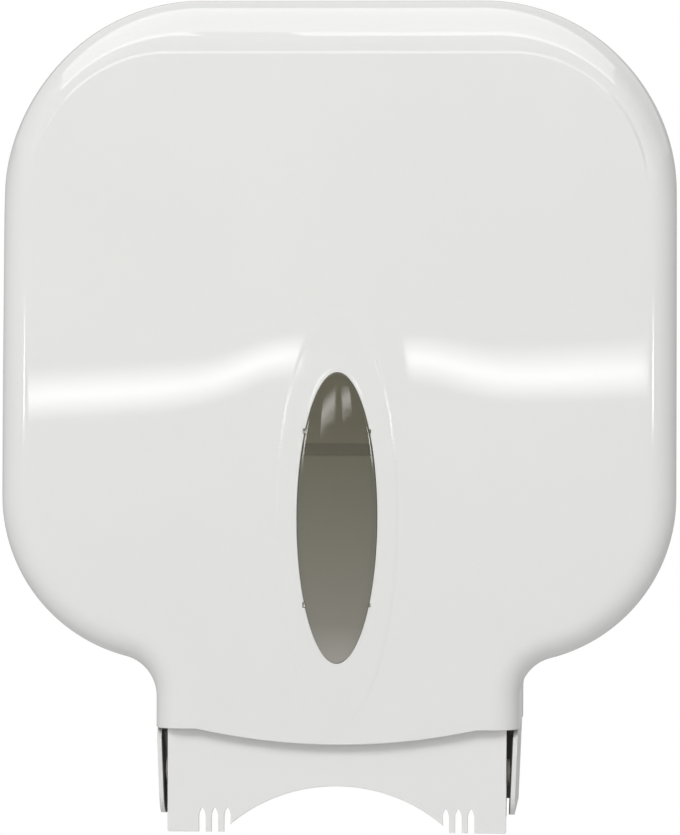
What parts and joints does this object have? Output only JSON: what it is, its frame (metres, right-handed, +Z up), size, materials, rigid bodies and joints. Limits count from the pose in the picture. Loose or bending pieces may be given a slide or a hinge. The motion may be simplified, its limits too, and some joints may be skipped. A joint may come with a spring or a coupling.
{
  "type": "jumbo toilet roll dispenser",
  "caption": "Wall dispenser for a jumbo paper roll: drop-down rounded cover with a smoked oval window, tear plate, cam lock and spinning roll hub on a wall base.",
  "frame": {"origin": "on the wall face of the base, on the axis of the roll hub", "axes": "+Z up, +X to the right as seen from the room, the room is on the -Y side of the wall"},
  "size_m": [0.3624, 0.1282, 0.448],
  "materials": {
    "base_plastic": "moulded, fine satin grain",
    "cover_plastic": "moulded, glossy off-white",
    "smoked_window": "clear smoked plastic, polished",
    "tear_plastic": "moulded, glossy off-white",
    "screw_steel": "zinc plated",
    "pin_steel": "turned and ground",
    "washer_nylon": "natural nylon",
    "lock_metal": "plated die casting",
    "nut_brass": "machined",
    "barrel_steel": "plated, turned face",
    "cam_steel": "pressed and plated",
    "keeper_plastic": "moulded, satin",
    "axle_plastic": "glass-filled, satin grey",
    "drag_felt": "pressed felt",
    "hub_plastic": "moulded, satin grey",
    "washer_steel": "stamped"
  },
  "bodies": {
    "base": {"back_plate": "base_plastic", "hinge_pin_right": "pin_steel", "hinge_pin_left": "pin_steel", "hinge_washers": "washer_nylon", "lock_keeper": "keeper_plastic", "keeper_screws": "screw_steel", "spindle_axle": "axle_plastic", "axle_screws": "screw_steel", "drag_washer": "drag_felt", "hub_washer": "washer_steel", "hub_screw": "screw_steel"},
    "cover": {"front_cover": "cover_plastic", "window": "smoked_window", "tear_plate": "tear_plastic", "tear_plate_screws": "screw_steel", "lock_housing": "lock_metal", "lock_nut": "nut_brass"},
    "lock": {"lock_barrel": "barrel_steel", "lock_cam": "cam_steel", "cam_screw": "screw_steel"},
    "hub": {"spindle_hub": "hub_plastic"}
  },
  "joints": [
    {"name": "cover_hinge", "type": "hinge", "parent": "base", "child": "cover", "pos_m": [0, -0.103, -0.232], "axis": [1, 0, 0], "range_deg": [0, 105]},
    {"name": "lock_turn", "type": "hinge", "parent": "cover", "child": "lock", "pos_m": [0, -0.04, 0.17], "axis": [0, 0, -1], "range_deg": [0, 90]},
    {"name": "hub_spin", "type": "hinge", "parent": "base", "child": "hub", "pos_m": [0, -0.06, 0], "axis": [0, -1, 0], "continuous": true}
  ]
}
